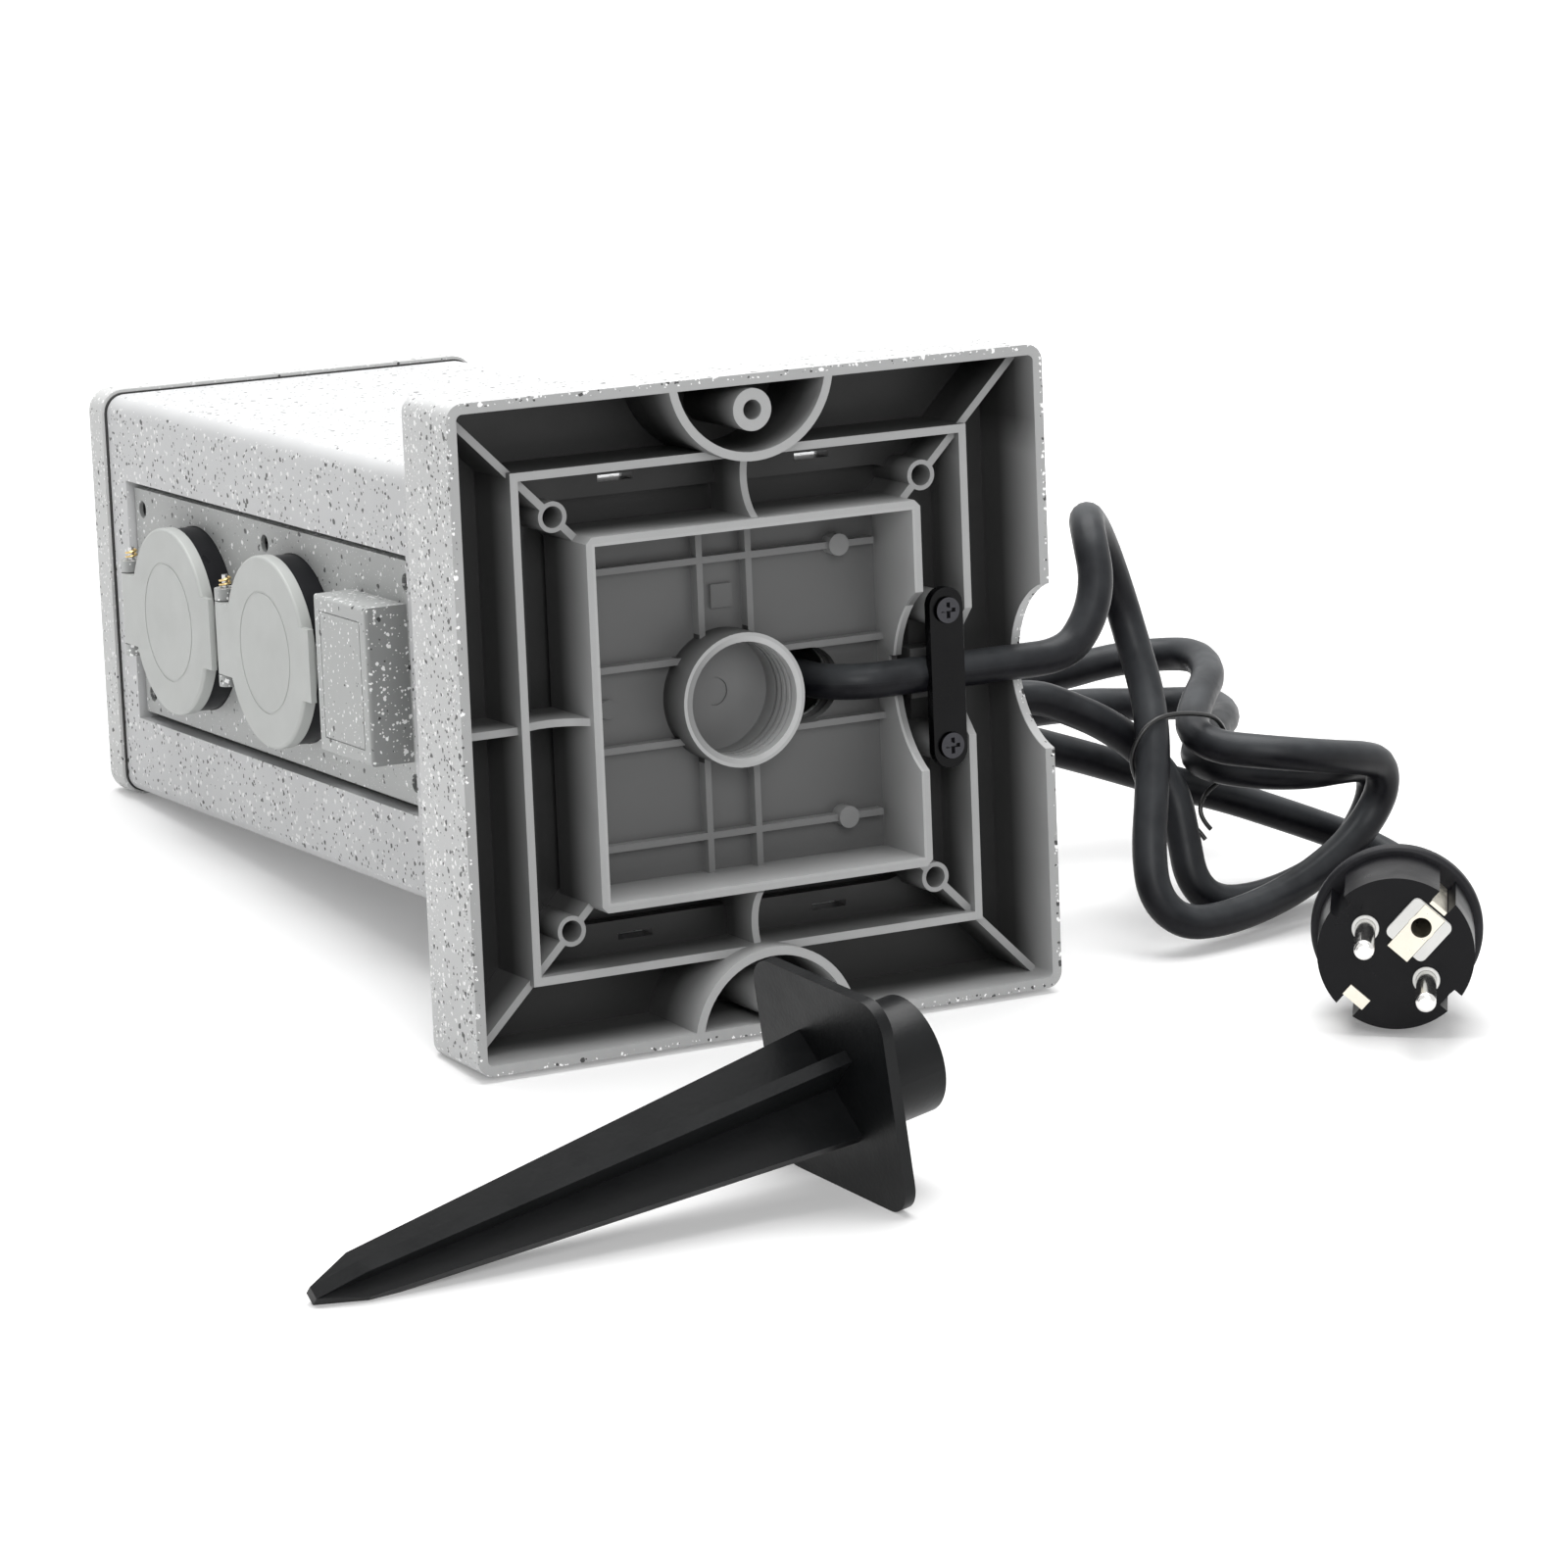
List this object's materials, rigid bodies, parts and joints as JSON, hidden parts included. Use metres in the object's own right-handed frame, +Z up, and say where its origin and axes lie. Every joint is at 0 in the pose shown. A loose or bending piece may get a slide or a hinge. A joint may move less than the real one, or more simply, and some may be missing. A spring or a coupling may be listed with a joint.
{
  "type": "garden socket post",
  "caption": "Square speckled garden socket post lying on its side, with hinged socket lids, a hollow base, a tied mains cable with plug and a separate ground spike.",
  "frame": {"origin": "centre of the spike socket's mouth in the base", "axes": "+Z up from the ground that the post lies on, +Y from the base towards the cap, +X away from the side with the sockets; the post's own axis slopes down towards the cap"},
  "size_m": [0.3782, 0.4175, 0.1579],
  "materials": {
    "stone_plastic": "speckled grey, satin",
    "lid_plastic": "satin",
    "seal_rubber": "matt",
    "steel_screws": "bright",
    "black_plastic": "satin",
    "black_screws": "blackened",
    "cable_rubber": "satin",
    "terminal_plastic": "translucent white",
    "brown_wire": "gloss",
    "blue_wire": "gloss",
    "green_wire": "gloss, green and yellow",
    "spike_plastic": "satin",
    "tie_wire": "gloss",
    "plug_rubber": "matt",
    "plug_face_plastic": "satin",
    "plated_pins": "bright nickel",
    "white_plastic": "satin",
    "cream_clips": "pale plated",
    "contact_brass": "bright",
    "plated_steel": "bright"
  },
  "bodies": {
    "post": {"base_housing": "stone_plastic", "column_shell": "stone_plastic", "top_cap": "stone_plastic", "cap_seal": "seal_rubber", "column_screws": "steel_screws", "socket_panel": "stone_plastic", "panel_seal": "seal_rubber", "panel_screws": "steel_screws", "cable_clamp_bar": "black_plastic", "clamp_screws": "black_screws", "cable_inside": "cable_rubber", "terminal_block": "terminal_plastic", "terminal_block_screws": "steel_screws", "live_wires": "brown_wire", "neutral_wires": "blue_wire", "earth_wires": "green_wire", "power_cord": "cable_rubber", "cord_tie": "tie_wire", "plug_body": "plug_rubber", "plug_face": "plug_face_plastic", "plug_pins": "plated_pins", "plug_pin_collars": "white_plastic", "plug_earth_contact": "cream_clips", "plug_earth_frame": "white_plastic", "plug_earth_clips": "cream_clips", "lower_socket_insert": "black_plastic", "lower_socket_contacts": "contact_brass", "lower_socket_earth_bow": "plated_steel", "lower_socket_terminal_screws": "steel_screws", "lower_socket_fixing_screws": "steel_screws", "lower_hinge_bracket": "stone_plastic", "lower_hinge_pin": "plated_steel", "lower_lid_spring": "contact_brass", "upper_socket_insert": "black_plastic", "upper_socket_contacts": "contact_brass", "upper_socket_earth_bow": "plated_steel", "upper_socket_terminal_screws": "steel_screws", "upper_socket_fixing_screws": "steel_screws", "upper_hinge_bracket": "stone_plastic", "upper_hinge_pin": "plated_steel", "upper_lid_spring": "contact_brass"},
    "lower_lid": {"lower_lid": "lid_plastic", "lower_lid_seal": "seal_rubber"},
    "upper_lid": {"upper_lid": "lid_plastic", "upper_lid_seal": "seal_rubber"},
    "spike": {"ground_spike": "spike_plastic"}
  },
  "joints": [
    {"name": "lower_lid_hinge", "type": "hinge", "parent": "post", "child": "lower_lid", "pos_m": [-0.05795, 0.17116, -0.01541], "axis": [0, -0.0897, -0.996], "range_deg": [0, 90], "stiffness_Nm_per_rad": 0.02, "springref_deg": -45.84},
    {"name": "upper_lid_hinge", "type": "hinge", "parent": "post", "child": "upper_lid", "pos_m": [-0.05795, 0.23341, -0.02102], "axis": [0, -0.0897, -0.996], "range_deg": [0, 90], "stiffness_Nm_per_rad": 0.02, "springref_deg": -45.84},
    {"name": "spike_lift", "type": "slide", "parent": "post", "child": "spike", "axis": [0, 0, 1], "range_m": [0, 0.15]}
  ]
}
